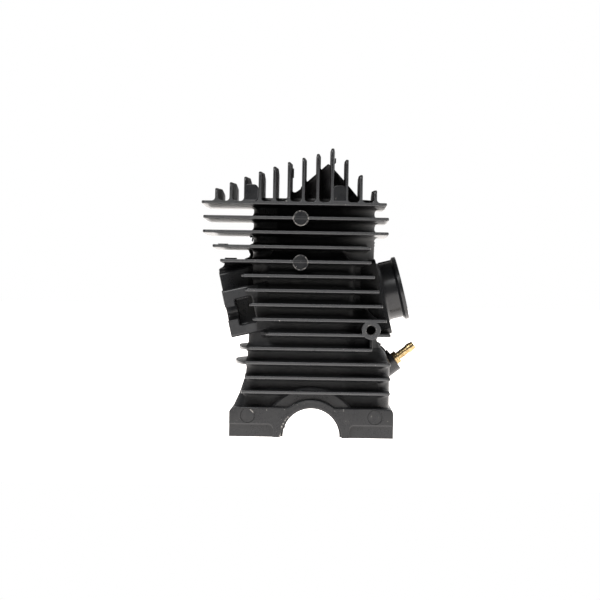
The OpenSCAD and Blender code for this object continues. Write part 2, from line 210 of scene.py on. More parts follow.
def fin_plate(i):
    """One fin: drafted both ways from the parting plane, edges rounded, lower ones bowed at the left."""
    left, right = FIN_LEFT[i], FIN_RIGHT[i]
    bow = FIN_BOW[i] if i < len(FIN_BOW) else 0
    q = FIN_CORNER
    outline = arc(right - q, -FIN_Y + q, q, -90, 0, 5) + [(right, 0)] + arc(right - q, FIN_Y - q, q, 0, 90, 5)
    if bow:
        sweep = [math.pi / 2 + math.pi * k / 20 for k in range(21)]
        outline += [(left + bow + bow * math.cos(t), round(FIN_Y * math.sin(t), 6)) for t in sweep]
    else:
        outline += arc(left + 2, FIN_Y - 2, 2, 90, 180, 5) + [(left, 0)]
        outline += arc(left + 2, -FIN_Y + 2, 2, 180, 270, 5)
    z = FIN_Z0 + i * FIN_PITCH
    rings = []
    for side in (-1, 1):
        steps = ((EDGE_R, 0), (EDGE_R * BEND, EDGE_R * BEND), (0, EDGE_R))
        for d, sink in steps if side < 0 else reversed(steps):
            rings.append([(x, y, z + side * (half_thickness(y) - sink)) for x, y in inset(outline, d)])
    back = [k for k, (x, y) in enumerate(outline) if y >= 0]
    front = [k for k, (x, y) in enumerate(outline) if y <= 0]
    turn = next(k for k in range(len(front)) if front[k] + 1 not in front and front[k] != len(outline) - 1)
    front = front[turn + 1:] + front[:turn + 1]
    return stack("fin", rings, [tuple(back), tuple(front)])


def blade_x(i):
    """Place of a blade across the head, counted from the left; a fraction lies between two blades."""
    return -47.2 + 6.94 * i


def blade_top(i):
    """Height of a blade at its front edge: a climb to the ridge, then a steeper fall to the right."""
    if i < RIDGE_BLADE:
        return 119.2 + 3 * i - 0.078 * i * i
    if i == RIDGE_BLADE:
        return 139.1
    return 133.8 - 7.25 * (i - RIDGE_BLADE - 1)


def blade(i):
    """One upright blade on the head, with fillets at its foot."""
    x0, top = blade_x(i), blade_top(i)
    foot, tip, corner, crown_slope = 1.7, 0.5, 1.6, 1.1 / FIN_Y
    rings = []
    near = [FIN_Y - d for d in (0, 0.12, 0.4, 1.0, corner)]
    for y in [-v for v in near] + [0] + near[::-1]:
        out = FIN_Y - abs(y)
        shrink = 0.4 - math.sqrt(max(0.16 - (0.4 - out) ** 2, 0)) if out < 0.4 else 0
        drop = corner - math.sqrt(corner ** 2 - (corner - min(out, corner)) ** 2)
        w = half_thickness(y) - shrink
        base = ROOF_Z + half_thickness(y) - 0.03
        peak = top + out * crown_slope - drop - shrink
        fillet = [(w + foot - foot * math.sin(t), base + foot - foot * math.cos(t))
                  for t in (0, 0.4, 0.8, 1.2, math.pi / 2)]
        crown = [(w - tip + tip * math.cos(t), peak - tip + tip * math.sin(t))
                 for t in (0, 0.5, 1.0, math.pi / 2)]
        half = [(w + foot, base - 1)] + fillet + crown
        ring = [(x0 + x, y, z) for x, z in half] + [(x0 - x, y, z) for x, z in reversed(half)]
        rings.append(ring)
    return stack("blade", rings)


def box_distance(x, y, span, half, r):
    """Signed distance to an upright block with round corners."""
    cx, hx = (span[0] + span[1]) / 2, (span[1] - span[0]) / 2
    dx, dy = np.abs(x - cx) - hx + r, np.abs(y) - half + r
    return np.hypot(np.maximum(dx, 0), np.maximum(dy, 0)) + np.minimum(np.maximum(dx, dy), 0) - r


def blend(a, b, k=3.0):
    """Smooth union of two distances."""
    h = np.clip(0.5 + 0.5 * (b - a) / k, 0, 1)
    return b * (1 - h) + a * h - k * h * (1 - h)


def wall_distance(x, y, z):
    """Distance to the barrel's wall between the fins: round barrel, transfer bulge and crank chest."""
    def reach(low, high):
        return np.maximum(np.maximum(low - z, z - high), 0)
    upper = np.hypot(x, y) - 29.7 + 0 * z
    upper = blend(upper, box_distance(x, y, (-29.7, 0), 26, 4), 1.5) + reach(44, 200)
    bulge = box_distance(x, y, (-25, 19.5), 33, 5) + reach(0, 84)
    left = np.interp(z, (13, 16, 20, 26, 30, 47), (-39, -37.4, -35.4, -33.4, -32.3, -31))
    lower = box_distance(x, y, (left, 31), 30, 6) + reach(0, 57)
    chest = box_distance(x, y, (0, 37.7), 30, 6) + reach(0, 39)
    return blend(blend(blend(upper, bulge), lower), chest)


def fin_room(i, c, s, wall):
    """How far fin i stands out past the wall, along each ray from the bore axis."""
    flat = np.full(len(c), 1e-6)
    across = np.where(c > 0, FIN_RIGHT[i], -FIN_LEFT[i]) / np.maximum(np.abs(c), flat)
    return np.clip(np.minimum(across, FIN_Y / np.maximum(np.abs(s), flat)) - wall - 0.5, 0.05, 9)


def barrel():
    """The barrel's wall with the fillets of every fin, as rings of points round the bore axis."""
    count = 192
    levels = [(12.0, 0, 0, 0)]
    for i in range(FIN_COUNT):
        for side in (-1, 1):
            steps = (0, 0.4, 0.8, 1.2, math.pi / 2)
            for t in (steps if side < 0 else reversed(steps)):
                levels.append((FIN_Z0 + i * FIN_PITCH, side, t, i + 1))
    theta = np.linspace(0, 2 * math.pi, count, endpoint=False)
    c, s = np.cos(theta), np.sin(theta)
    rings = []
    for z0, side, t, fin in levels:
        z = np.full(count, z0)
        for _ in range(2 if fin else 1):
            low, high = np.full(count, 12.0), np.full(count, 52.0)
            for _ in range(26):
                mid = (low + high) / 2
                inside = wall_distance(mid * c, mid * s, z) < 0
                low, high = np.where(inside, mid, low), np.where(inside, high, mid)
            if fin:
                y = np.minimum(np.abs(low * s), FIN_Y)
                half = FIN_EDGE_T / 2 + (FIN_Y - y) * FIN_DRAFT
                fillet = np.minimum(ROOT_FILLET, fin_room(fin - 1, c, s, low))
                z = z0 + side * (half - 0.04 + fillet * (1 - math.sin(t)))
        r = low + (np.minimum(ROOT_FILLET, fin_room(fin - 1, c, s, low)) * (1 - math.cos(t)) if fin else 0)
        rings.append([(a * b, a * d, e) for a, b, d, e in zip(r, c, s, z)])
    return stack("barrel", rings)


BASE_W, BASE_Y, BASE_H = 39.5, 41.2, 14.3
EXHAUST = Matrix.Translation((-42.9, 0, 63.05)) @ Matrix.Rotation(math.radians(-13), 4, "Y")
INTAKE = looking((43.9, 0, 72.8), 14.3)
PLUG = looking((14.9, 0, 124.2), 41.4)
PULSE = looking((40.2, -10, 37.6), 37.5)
FRONT = Matrix.Rotation(math.radians(90), 4, "X")


def front_at(x, z):
    """Frame whose z axis points to the front, at a place in x and z."""
    return Matrix.Translation((x, 0, z)) @ FRONT


def base_parts():
    """Base block, the ring round the crank arch and the bearing housing; the sunk corner pads are cut later.
    """
    half = BASE_W
    block = [(-half, 0), (half, 0), (half, 12.2), (half - 0.6, 13.6), (half - 1.9, BASE_H),
             (-half + 2.8, BASE_H), (-half + 0.8, 13.4), (-half, 12.2)]
    parts = [bar("base", block, (-BASE_Y, BASE_Y), 0.5)]
    parts.append(lathe("arch ring", [(17.5, -BASE_Y), (18.0, -BASE_Y + 0.15), (18.2, -BASE_Y + 0.6),
                                     (18.2, BASE_Y - 0.6), (18.0, BASE_Y - 0.15), (17.5, BASE_Y)], FRONT, 96))
    parts.append(lathe("housing", [(23, -37), (24, -36), (24, 36), (23, 37)], FRONT, 96))
    return parts


def corner_fillet(x0, side, height, slope, r=1.3):
    """Fillet prism between an upright wall at x0 and a top face that runs away from it at a slope."""
    m = slope * side
    centre = height + m * r + r * math.hypot(1, m)
    bend = arc(r, centre, r, 180, 360 + math.degrees(math.atan2(-1, m)), 6)
    outline = [(-0.5, height - 1 - abs(m)), (-0.5, centre)] + bend + [(bend[-1][0], bend[-1][1] - 0.8)]
    return bar("corner fillet", [(x0 + side * u, v) for u, v in outline], (-10.7, 10.7), 0.01)


def head_parts():
    """Hump that climbs to the plug boss, its fillets against the blades, and the boss itself."""
    ridge_line = [(-20, 112), (-8.6, 119.7), (-1.8, 124.8), (3.5, 129.3), (6.8, 132.6),
                  (9, 130.3), (20.6, 117.1), (24, 113)]
    boss = [(12.2, -19), (13, -18), (13, -0.6), (12.8, -0.15), (12.4, 0)]
    parts = [bar("hump", [(-21, 111), (24, 111)] + ridge_line[::-1], (-11, 11), 0.6)]
    parts.append(lathe("plug boss", boss, PLUG, 72))
    run, rise = zip(*ridge_line)
    for i in range(4, 8):
        for side in (1, -1):
            foot = blade_x(i) + side * half_thickness(8)
            low, high = (float(np.interp(foot + side * d, run, rise)) for d in (0, 2))
            if low > ROOF_Z + 1.2:
                parts.append(corner_fillet(foot, side, low, side * (high - low) / 2))
    return parts


def flash(start, end, reach, seed):
    """Thin jagged sliver that the dies left on the parting plane, between two points in x and z."""
    rng = np.random.default_rng(seed)
    a, b = Vector(start), Vector(end)
    along = b - a
    out = Vector((along.y, -along.x)).normalized()
    steps = max(3, int(along.length / 0.45))
    crest = []
    for k in range(steps + 1):
        height = reach * rng.choice((0.15, 0.45, 1.0), p=(0.45, 0.35, 0.2)) * rng.uniform(0.6, 1)
        crest.append(a + along * (k / steps) + out * (height if 0 < k < steps else 0.02))
    outline = [tuple(a - out * 0.6)] + [tuple(c) for c in crest] + [tuple(b - out * 0.6)]
    return bar("flash", outline, (-0.11, 0.11), 0.01)


def flashes():
    """Every sliver worth seeing along the parting line."""
    edge = half_thickness(0)
    runs = [((blade_x(5) + edge, 131.2), (blade_x(5) + edge, 126.5), 0.9, 3),
            ((blade_x(8) + edge, 136.6), (blade_x(8) + edge, 131.0), 0.6, 8),
            ((-44.5, 84.5 + edge), (-38.5, 84.5 + edge), 0.5, 5),
            ((-48.0, 91.5 + edge), (-43.0, 91.5 + edge), 0.55, 6),
            ((29.7, 101.4), (29.7, 104.6), 0.5, 12),
            ((29.7, 92.8), (29.7, 95.4), 0.5, 13),
            ((36.0, 41.0), (31.8, 45.9), 1.6, 14)]
    parts = [flash(*run) for run in runs]
    top = [INTAKE @ Vector((-14.15, 0, h)) for h in (-9.0, -2.4)]
    parts.append(flash((top[0].x, top[0].z), (top[1].x, top[1].z), 0.6, 17))
    torn = [(-28.5, 98), (-32.8, 97.9), (-31.9, 96.4), (-31.0, 96.6), (-31.3, 94.8), (-30.8, 94.4),
            (-30.3, 95.9), (-29.6, 95.6), (-28.5, 95.5)]
    foot = [(-28.5, 92.2), (-32.8, 92.2), (-31.6, 93.2), (-30.2, 93.8), (-29.4, 94.2), (-28.5, 94.2)]
    hollow = [(-28.5, 91.4), (-33.1, 91.2), (-32.5, 89.6), (-31.8, 88.0), (-32.4, 86.8), (-34.6, 85.9),
              (-35, 85), (-28.5, 85)]
    for half, web in ((0.15, torn), (0.3, foot), (0.9, hollow)):
        parts.append(bar("flash", web, (-half, half), 0.01))
    return parts


EJECTOR_POSTS = ((-6.5, 105.4), (-6.4, 84.1))
BLADE_POSTS = (blade_x(2.4), blade_x(8.53))
TAPPED_BOSS = (28.1, 52.1)


def post_parts():
    """Ejector posts on the front, the tapped boss and its rib."""
    face = -FIN_Y - 0.1
    parts = []
    post = [(3.3, 20), (3.8, 20.5), (3.8, -face - 0.3), (3.65, -face), (3.25, -face), (3.1, -face - 0.25)]
    for x, z in EJECTOR_POSTS:
        parts.append(lathe("ejector post", post, front_at(x, z), 48))
    for x in BLADE_POSTS:
        outline = round_box((x - 3.4, x + 3.4), (ROOF_Z + 0.7, 121.3), 2.2, 7)
        parts.append(bar("blade post", outline, (face, -32), 0.35))
    boss = [(4.6, 18), (4.6, -face - 0.5), (4.4, -face - 0.12), (4.1, -face)]
    parts.append(lathe("tapped boss", boss, front_at(*TAPPED_BOSS), 48))
    parts.append(bar("boss rib", [(27.6, 42), (29.0, 42), (29.0, 52), (27.6, 52)], (-37.5, -24), 0.3))
    return parts


def port_parts():
    """Exhaust flange with its bolt lugs, intake flange and spigot, and the pulse boss."""
    duct = round_box((-20, 20), (-16.2, 16.2), 2)
    lug = round_box((-33, 33), (-16.2, 7), 1.2)
    parts = [bar("exhaust duct", duct, (0, 26), 0.5, "x", EXHAUST),
             bar("exhaust lug", lug, (0, 22), 0.5, "x", EXHAUST)]
    arch = [(-13.5, 10), (13.5, 10), (13.5, 16.2), (12.4, 17.4), (10.4, 18), (-10.4, 18), (-12.4, 17.4),
            (-13.5, 16.2)]
    parts.append(bar("exhaust arch", arch, (0, 26), 0.5, "x", EXHAUST))
    web = [(-46.6, 79), (-46.2, 80.7), (-45.2, 81.2), (-44.4, 82.1), (-44, 83.2), (-44.4, 84.4),
           (-24, 84.4), (-24, 79)]
    parts.append(bar("arch web", web, (-4, 4), 0.4))
    flange = round_box((-17, 20.5), (-19, 19), 3)
    parts.append(bar("intake flange", flange, (-30, -10.2), 0.6, "z", INTAKE))
    spigot = [(14.2, -14), (16.0, -10.4), (14.9, -9.9), (14.4, -9.2), (14.2, -8.4), (14.2, -3.0),
              (14.3, -2.75), (15.6, -2.0), (15.8, -1.7), (15.8, -0.3), (15.6, 0), (15.2, 0)]
    parts.append(lathe("spigot", spigot, INTAKE, 96))
    parts.append(lathe("pulse boss", [(5.8, -17), (5.8, -0.5), (5.6, -0.1), (5.2, 0)], PULSE, 48))
    return parts


def bore_cuts():
    """Bore with its combustion dome, and the crank line with its seats and web room."""
    dome_r, dome_z = 21.2, 89.0
    dome = [(dome_r * math.sin(t), dome_z + dome_r * math.cos(t))
            for t in np.linspace(math.asin(18 / dome_r), 0.02, 14)]
    profile = [(24.3, 20), (24.3, 20.6), (BORE_R, 21.6), (BORE_R, 99.4), (22.9, 100.0), (22.0, 100.2),
               (18.6, 100.2)]
    tools = [lathe("bore", profile + dome, Matrix(), 128)]
    for mirror in (1, -1):
        seats = [(14.95, 41.4), (14.65, 41.0), (14.65, 34.0), (13.7, 34.0), (13.7, 29.5), (17.5, 29.5),
                 (17.5, 18.5), (15.5, 18.5), (15.5, 10)]
        tools.append(lathe("seats", [(r, mirror * h) for r, h in [(14.95, 45)] + seats], FRONT, 96))
    tools.append(lathe("web room", [(32.4, -17.5), (33, -16.9), (33, 16.9), (32.4, 17.5)], FRONT, 128))
    tools.append(bar("below the joint face", round_box((-70, 70), (-70, 70), 1), (-60, 0), 0.01, "z"))
    return tools


def base_cuts():
    """Sunk pads, ejector discs and tapped bolt holes of the base."""
    tools = []
    for side in (-1, 1):
        for depth in (-1, 1):
            x = (18.5, 46) if side > 0 else (-46, -18.5)
            pad = round_box(x, (-5, 6.2), 2.2)
            tools.append(pocket("pad", pad, depth * 38.6, depth * BASE_Y, 0.6, 0.35))
            at = Matrix.Translation((31 * side, 31 * depth, 0))
            hole = [(3.1, -3), (3.1, 0), (2.5, 0.6), (2.5, 12), (0.4, 13.2)]
            tools.append(lathe("bolt hole", hole, at, 32))
            tools.append(tapped("bolt thread", 2.49, 0.38, 0.8, (0.1, 11.5), at))
        ring = [(3.2, BASE_Y - 0.12), (3.28, BASE_Y - 0.4), (3.52, BASE_Y - 0.4), (3.62, BASE_Y),
                (3.62, BASE_Y + 1)]
        tools.append(lathe("ejector mark", ring, front_at(30.6 * side, 10.3), 48))
    return tools


def port_cuts():
    """Ports, bolt slots, transfer ducts and drilled holes."""
    duct = round_box((-13.5, 13.5), (-3.5, 9.5), 5, 6)
    tools = [bar("exhaust port", duct, (-2, 15), 0.02, "x", EXHAUST),
             bar("exhaust window", round_box((-13.5, 13.5), (65, 77), 2.5), (-31, -18), 0.02, "x")]
    for mirror in (1, -1):
        slot = arc(27, -4.7, 3.25, 90, 270, 14) + [(35, -7.95), (35, -1.45)]
        slot = [(mirror * u, v) for u, v in slot][::mirror]
        tools.append(bar("bolt slot", slot, (-2, 7), 0.02, "x", EXHAUST))
        room = round_box((5.3, 13.7), (-11.1, 1.7), 0.8)
        tools.append(pocket("bolt pocket", room, mirror * 20.5, mirror * 33, 0.6, 0.55, EXHAUST))
        for side in (-1, 1):
            x = (2, 13) if side > 0 else (-13, -2)
            channel = round_box(x, sorted((mirror * 25, mirror * 29.5)), 1.2)
            tools.append(bar("transfer", channel, (22, 73), 0.5, "z"))
            for z in ((22, 34), (65, 73)):
                window = round_box(x, z, 1.2)
                tools.append(bar("transfer window", window, sorted((mirror * 17, mirror * 26)), 0.02))
    throat = [(9.5, -11), (11.3, -9.5), (11.3, -0.5), (11.8, 0.02), (11.8, 2)]
    tools.append(lathe("intake bore", throat, INTAKE, 96))
    elbow = Vector((38.09, 0, 71.32))
    fall = math.atan2(elbow.z - 49, elbow.x - BORE_R)
    way = Matrix.Translation(elbow) @ Matrix.Rotation(math.pi - fall, 4, "Y")
    tools.append(bar("intake drop", round_box((-10, 10), (-3.5, 3.5), 2.5), (0, 34), 0.02, "x", way))
    plug = [(5.6, -26), (5.6, -21.3), (6.35, -20.4), (6.35, -8.6), (7.0, -8), (10.5, -8), (10.8, -7.7),
            (10.8, 40)]
    tools.append(lathe("plug hole", plug, PLUG, 96))
    tools.append(tapped("plug thread", 6.34, 0.6, 1.25, (-20.6, -8.1), PLUG, 64))
    tools.append(lathe("pulse hole", [(1.6, -24), (1.6, -6), (2.5, -6), (2.5, 2)], PULSE, 32))
    tap = front_at(*TAPPED_BOSS)
    tools.append(lathe("tapped hole", [(0.3, 28), (2.1, 29), (2.1, 40.4), (2.6, 41), (2.6, 43)], tap, 32))
    tools.append(tapped("tapped thread", 2.09, 0.38, 0.8, (29.5, 40.8), tap))
    return tools


def finish_shading(piece, angle=32):
    """Smooth shading, sharp where the surface really turns, with the large faces kept flat."""
    mesh = piece.data
    mesh.polygons.foreach_set("use_smooth", [True] * len(mesh.polygons))
    mesh.set_sharp_from_angle(angle=math.radians(angle))
    step = piece.modifiers.new("normals", "WEIGHTED_NORMAL")
    step.keep_sharp, step.weight = True, 100
    graph = bpy.context.evaluated_depsgraph_get()
    piece.data = bpy.data.meshes.new_from_object(piece.evaluated_get(graph))
    piece.modifiers.clear()


casting = barrel()
added = [fin_plate(i) for i in range(FIN_COUNT)] + [blade(i) for i in range(BLADE_COUNT)]
added += base_parts() + head_parts() + post_parts() + port_parts() + flashes()
combine(casting, added, "UNION")
combine(casting, bore_cuts() + base_cuts() + port_cuts(), "DIFFERENCE")
casting.name = "casting"
finish_shading(casting)


class Value:
    """A shader socket that Python's operators work on."""

    def __init__(self, shader, socket):
        self.shader, self.socket = shader, socket

    def _math(self, operation, other, swap=False):
        pair = (other, self) if swap else (self, other)
        return self.shader.node("ShaderNodeMath", {"operation": operation}, pair)

    def __add__(self, other):
        return self._math("ADD", other)

    def __sub__(self, other):
        return self._math("SUBTRACT", other)

    def __rsub__(self, other):
        return self._math("SUBTRACT", other, True)

    def __mul__(self, other):
        return self._math("MULTIPLY", other)

    def __truediv__(self, other):
        return self._math("DIVIDE", other)

    def __gt__(self, other):
        return self._math("GREATER_THAN", other)

    def __lt__(self, other):
        return self._math("LESS_THAN", other)

    def __abs__(self):
        return self._math("ABSOLUTE", 0)

    __radd__ = __add__
    __rmul__ = __mul__


class Shader:
    """One material under construction."""

    def __init__(self, name, **sockets):
        self.material = bpy.data.materials.new(name)
        self.material.use_nodes = True
        self.nodes = self.material.node_tree.nodes
        self.links = self.material.node_tree.links
        self.surface = self.nodes["Principled BSDF"]
        self.at = Value(self, self.nodes.new("ShaderNodeTexCoord").outputs["Object"])
        for socket, value in sockets.items():
            self.set(socket.replace("_", " "), value)

    def feed(self, target, value):
        """Joins a value to a socket, or sets the socket to a number, a colour or a vector."""
        if isinstance(value, Value):
            self.links.new(value.socket, target)
        else:
            target.default_value = value

    def set(self, socket, value):
        """Feeds a socket of the surface itself."""
        self.feed(self.surface.inputs[socket], value)

    def node(self, kind, settings=None, inputs=(), output=0):
        """Adds a node: settings are set first, then its inputs by order or by name."""
        made = self.nodes.new(kind)
        for key, value in (settings or {}).items():
            if key == "stops":
                ramp = made.color_ramp.elements
                while len(ramp) < len(value):
                    ramp.new(0.5)
                for stop, (place, colour) in zip(ramp, value):
                    stop.position = place
                    stop.color = colour
            else:
                setattr(made, key, value)
        pairs = inputs.items() if isinstance(inputs, dict) else enumerate(inputs)
        for key, value in pairs:
            self.feed(made.inputs[key], value)
        return Value(self, made.outputs[output])

    def axes(self):
        """The x, y and z of the point, in millimetres."""
        split = self.node("ShaderNodeSeparateXYZ", None, [self.at])
        outs = split.socket.node.outputs
        return [Value(self, outs[k]) * 1000.0 for k in range(3)]

    def noise(self, size_mm, detail=3.0, roughness=0.5, offset=(0, 0, 0)):
        """Noise whose features are about size_mm across."""
        place = self.node("ShaderNodeMapping", None, {"Vector": self.at, "Location": offset})
        sockets = {"Vector": place, "Scale": 1000.0 / size_mm, "Detail": detail, "Roughness": roughness}
        return self.node("ShaderNodeTexNoise", None, sockets)

    def step(self, value, low, high):
        """0 below low and 1 above high, smooth between."""
        return self.node("ShaderNodeMapRange", {"interpolation_type": "SMOOTHSTEP"},
                         {"Value": value, "From Min": low, "From Max": high})

    def mix(self, factor, a, b):
        """Colour mix: a where the factor is 0, b where it is 1."""
        return self.node("ShaderNodeMix", {"data_type": "RGBA"}, {0: factor, 6: a, 7: b}, 2)

    def lines(self, position, size_mm, detail=2.0):
        """Tool marks: noise that changes along one measure only."""
        return self.node("ShaderNodeTexNoise", {"noise_dimensions": "1D"},
                         {"W": position / size_mm, "Scale": 1.0, "Detail": detail})

    def length(self, a, b):
        """Distance from an axis, from two coordinates."""
        return self.node("ShaderNodeMath", {"operation": "SQRT"}, [a * a + b * b])

    def either(self, a, b):
        """One mask or the other, or both."""
        return self.node("ShaderNodeMath", {"operation": "MAXIMUM"}, [a, b])

    def bump(self, height, depth_mm, strength=1.0):
        """Raises the surface by height times depth_mm."""
        self.set("Normal", self.node("ShaderNodeBump", None,
                                     {"Strength": strength, "Distance": depth_mm * MM, "Height": height}))


PAINT = (0.0175, 0.0185, 0.0205, 1)
PAINT_DUSTY = (0.026, 0.0268, 0.028, 1)
# Pale grey of the fin edges: thinner paint with a painted highlight.
PAINT_THIN_AND_LIT = (0.070, 0.072, 0.075, 1)
BARE = (0.55, 0.53, 0.5, 1)
MACHINED = (0.62, 0.62, 0.61, 1)
# Near black for the painted shade on the wall between the upper fins.
PAINTED_SHADE_BLACK = (0.006, 0.0065, 0.007, 1)
PAINT_BAKED = (0.05, 0.042, 0.037, 1)

paint = Shader("black painted casting")
x, y, z = paint.axes()
radius, crank_radius = paint.length(x, y), paint.length(x, z)
grain = paint.noise(0.45, 4, 0.6)
cloud = paint.noise(9, 3, 0.55)
peel = paint.noise(2.2, 2, 0.5)
edge = paint.step(abs(y), 40.45, 40.9)
chip = paint.step(paint.noise(1.6, 5, 0.7, (0.03, 0.01, 0.02)), 0.66, 0.70) * edge
in_bore = (radius < BORE_R + 0.4) * (z > 20.5) * (z < 101)
in_seat = (crank_radius < 17.7) * (crank_radius > 15.2) * (abs(y) < 30)
joint_face = z < 0.02
machined = paint.either(paint.either(in_bore, in_seat), joint_face)
colour = paint.mix(paint.step(cloud, 0.4, 0.75), PAINT, PAINT_DUSTY)

# The fin edges are paler: partly thinner paint, partly a painted highlight on the edges; not on the faces of
# the posts.
posts = 0
for px, pz in EJECTOR_POSTS:
    posts = posts + (paint.length(x - px, z - pz) < 3.5)
for px in BLADE_POSTS:
    posts = posts + (abs(x - px) < 3.0) * (z > 114)
colour = paint.mix(edge * paint.step(z, 16, 20) * (1 - posts), colour, PAINT_THIN_AND_LIT)

# It is worn through along the rims of the posts, the tapped hole and the crank arch, and at one
# scratch on the base. Each rim is a place, an inner and an outer radius, and how much paint it keeps.
RIMS = ((EJECTOR_POSTS[0], 3.25, 3.95, 0.44), (EJECTOR_POSTS[1], 3.25, 3.95, 0.5),
        (TAPPED_BOSS, 2.1, 2.75, 0.52))
worn = paint.noise(0.9, 4, 0.7, (0.01, 0.02, 0.03))
rims = 0
for (px, pz), low, high, keep in RIMS:
    far = paint.length(x - px, z - pz)
    rims = rims + (far > low) * (far < high) * paint.step(worn, keep, keep + 0.1)
rims = rims * (y < -40.5)
arch_rim = (crank_radius > 14.6) * (crank_radius < 15.25) * (x < -7) * (z < 10) * paint.step(worn, 0.5, 0.6)
scratch = (abs(x + z + 16.1) < 0.26) * (abs(x - z + 41.1) < 1.5) + arch_rim
rims = rims + scratch * (y < -40.9)
colour = paint.mix(rims * 0.55, colour, BARE)
chip = paint.either(chip, rims * 0.5)
colour = paint.mix(chip, colour, BARE)
bare = paint.either(chip, machined)
paint.set("Metallic", bare)

# Between the fins the wall is rough, and above the lowest fins it is painted near black as painted shade; the
# heat of the head has browned the blades.
wall = (radius < 31.8) * (z < 112)
bulge = (abs(x) < 32) * (abs(y) < 37) * (z > 15) * (z < 86)
rough_and_shaded_wall = paint.either(wall, bulge) * (1 - machined)
colour = paint.mix(rough_and_shaded_wall * paint.step(z, 48, 64), colour, PAINTED_SHADE_BLACK)
# Painted highlight: the front and back faces of the exhaust lugs get half the pale edge colour.
flange = (x < -27) * (abs(y) > 32.8) * (abs(y) < 33.2) * (z > 42) * (z < 78)
colour = paint.mix(flange * 0.5, colour, PAINT_THIN_AND_LIT)
drawn_out = paint.node("ShaderNodeMapping", None, {"Vector": paint.at, "Scale": (0.3, 1, 0.12)})
runs = paint.node("ShaderNodeTexNoise", None,
                  {"Vector": drawn_out, "Scale": 330.0, "Detail": 4.0, "Roughness": 0.65})
blades = (z > ROOF_Z + 1) * (1 - edge)
streak = paint.step(runs, 0.38, 0.62) * blades
colour = paint.mix(blades * 0.4, colour, PAINT_BAKED)
paint.set("Base Color", paint.mix(machined, colour, MACHINED))
paint.set("Roughness", 0.16 + grain * 0.14 + cloud * 0.12 + rough_and_shaded_wall * 0.35 + streak * 0.3)
paint.bump(grain * 0.6 + peel * 0.4, 0.06, 0.6)


def cover(piece, shader):
    """Gives a piece one material all over."""
    piece.data.materials.clear()
    piece.data.materials.append(shader.material)
    piece.data.polygons.foreach_set("material_index", [0] * len(piece.data.polygons))


cover(casting, paint)
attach(casting, "cylinder")
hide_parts("cylinder_casting")


def dress(piece, shader, body, node, angle=32):
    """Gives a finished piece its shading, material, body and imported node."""
    finish_shading(piece, angle)
    piece.name = node
    cover(piece, shader)
    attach(piece, body)
    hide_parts(node)


# ---- Pulse nipple ----------------------------------------------------------------------------
# Turned from brass bar and pressed into the boss below the intake. A rubber hose on it carries
# the crankcase pulses to the carburettor: the collar stops the press fit, the barb holds the hose.
nipple = lathe("nipple", [
    (1.2, -5.8), (2.3, -5.8), (2.5, -5.5), (2.5, 0), (3.0, 0), (3.2, 0.2), (3.2, 1.0), (3.1, 1.1), (3.1, 1.3),
    (3.2, 1.4), (3.2, 2.2), (3.0, 2.4), (2.2, 2.4), (2.0, 2.5), (1.95, 2.7), (1.95, 4.5), (2.05, 4.6),
    (2.15, 4.7), (2.15, 5.1), (2.05, 5.2), (1.95, 5.3), (1.95, 8.1), (2.0, 8.2), (2.2, 8.2), (2.25, 8.25),
    (2.25, 9.6), (2.23, 9.75), (1.8, 11.85), (1.65, 12.0), (1.4, 12.0), (1.2, 11.8)], PULSE, 72, True)
brass = Shader("brass", Metallic=1.0)
along = brass.node("ShaderNodeVectorMath", {"operation": "DOT_PRODUCT"},
                   [brass.at, tuple(PULSE.to_3x3() @ Vector((0, 0, 1000)))], 1)
marks = brass.lines(along, 0.09)
tarnish = brass.step(brass.noise(2.4, 4, 0.6), 0.42, 0.68)
brass.set("Base Color", brass.mix(tarnish, (0.54, 0.41, 0.22, 1), (0.32, 0.22, 0.10, 1)))
brass.set("Roughness", 0.16 + marks * 0.12 + tarnish * 0.14)
brass.bump(marks, 0.02, 0.5)
dress(nipple, brass, "cylinder", "impulse_nipple", 25)

# ---- Piston ----------------------------------------------------------------------------------
# Cast in a silicon aluminium and turned outside: flat crown, two ring grooves, plain skirt with
# arches below the pin bosses. The inside keeps its cast skin. The pin holes are bored and grooved.
PISTON_R = 23.44
PIN_Z = 75
RINGS = (("top_ring", 94.5, 60), ("second_ring", 90, 120))   # each with its height and where its gap is
turned_outside = [(22.9, 55), (23.3, 55.25), (PISTON_R, 55.7)]
for _, height, _ in reversed(RINGS):
    turned_outside += [(PISTON_R, height - 0.88), (23.36, height - 0.78), (21.35, height - 0.78),
                       (21.2, height - 0.7), (21.2, height + 0.7), (21.35, height + 0.78),
                       (23.36, height + 0.78), (PISTON_R, height + 0.88)]
turned_outside += [(PISTON_R, 98.5), (23.32, 98.86), (22.95, 99)]
piston = lathe("piston", turned_outside, Matrix(), 128)
cavity = lathe("cavity", [
    (21.2, 54), (20.7, 55.3), (20.5, 56.2), (20.5, 86.2), (20.3, 87.2), (19.8, 87.9), (19.0, 88.3),
    (18.6, 88.9), (18.5, 89.6), (18.5, 92.2), (18.2, 93.4), (17.4, 94.1), (16.2, 94.3)], Matrix(), 128)
combine(piston, [cavity], "DIFFERENCE")
ACROSS = front_at(0, PIN_Z)
bosses, cuts = [], []
for mirror in (1, -1):
    boss = [(7.9, 7.8), (8.35, 7.95), (8.5, 8.3), (8.5, 17.0), (8.7, 17.9), (9.2, 18.6), (9.8, 19.1),
            (9.8, 20.7)]
    bosses.append(lathe("pin boss", [(r, mirror * h) for r, h in boss], ACROSS, 72))
    web = [(-3, 76), (3, 76), (3, 91), (3.6, 95), (-3.6, 95), (-3, 91)]
    bosses.append(bar("boss web", web, sorted((mirror * 8.1, mirror * 20.7)), 0.5))
    cuts.append(lathe("skirt arch", [(9.5, mirror * 12), (9.5, mirror * 25)], front_at(0, 55), 96))
combine(piston, bosses, "UNION")
half_hole = [(5.4, 0), (5.4, 7.75), (5.0, 8.15), (5.0, 17.2), (5.5, 17.24), (5.5, 18.36), (5.0, 18.4),
             (5.0, 22.1), (6.3, 24)]
cuts.append(lathe("pin hole", [(r, -h) for r, h in half_hole[:0:-1]] + half_hole[1:], ACROSS, 64))
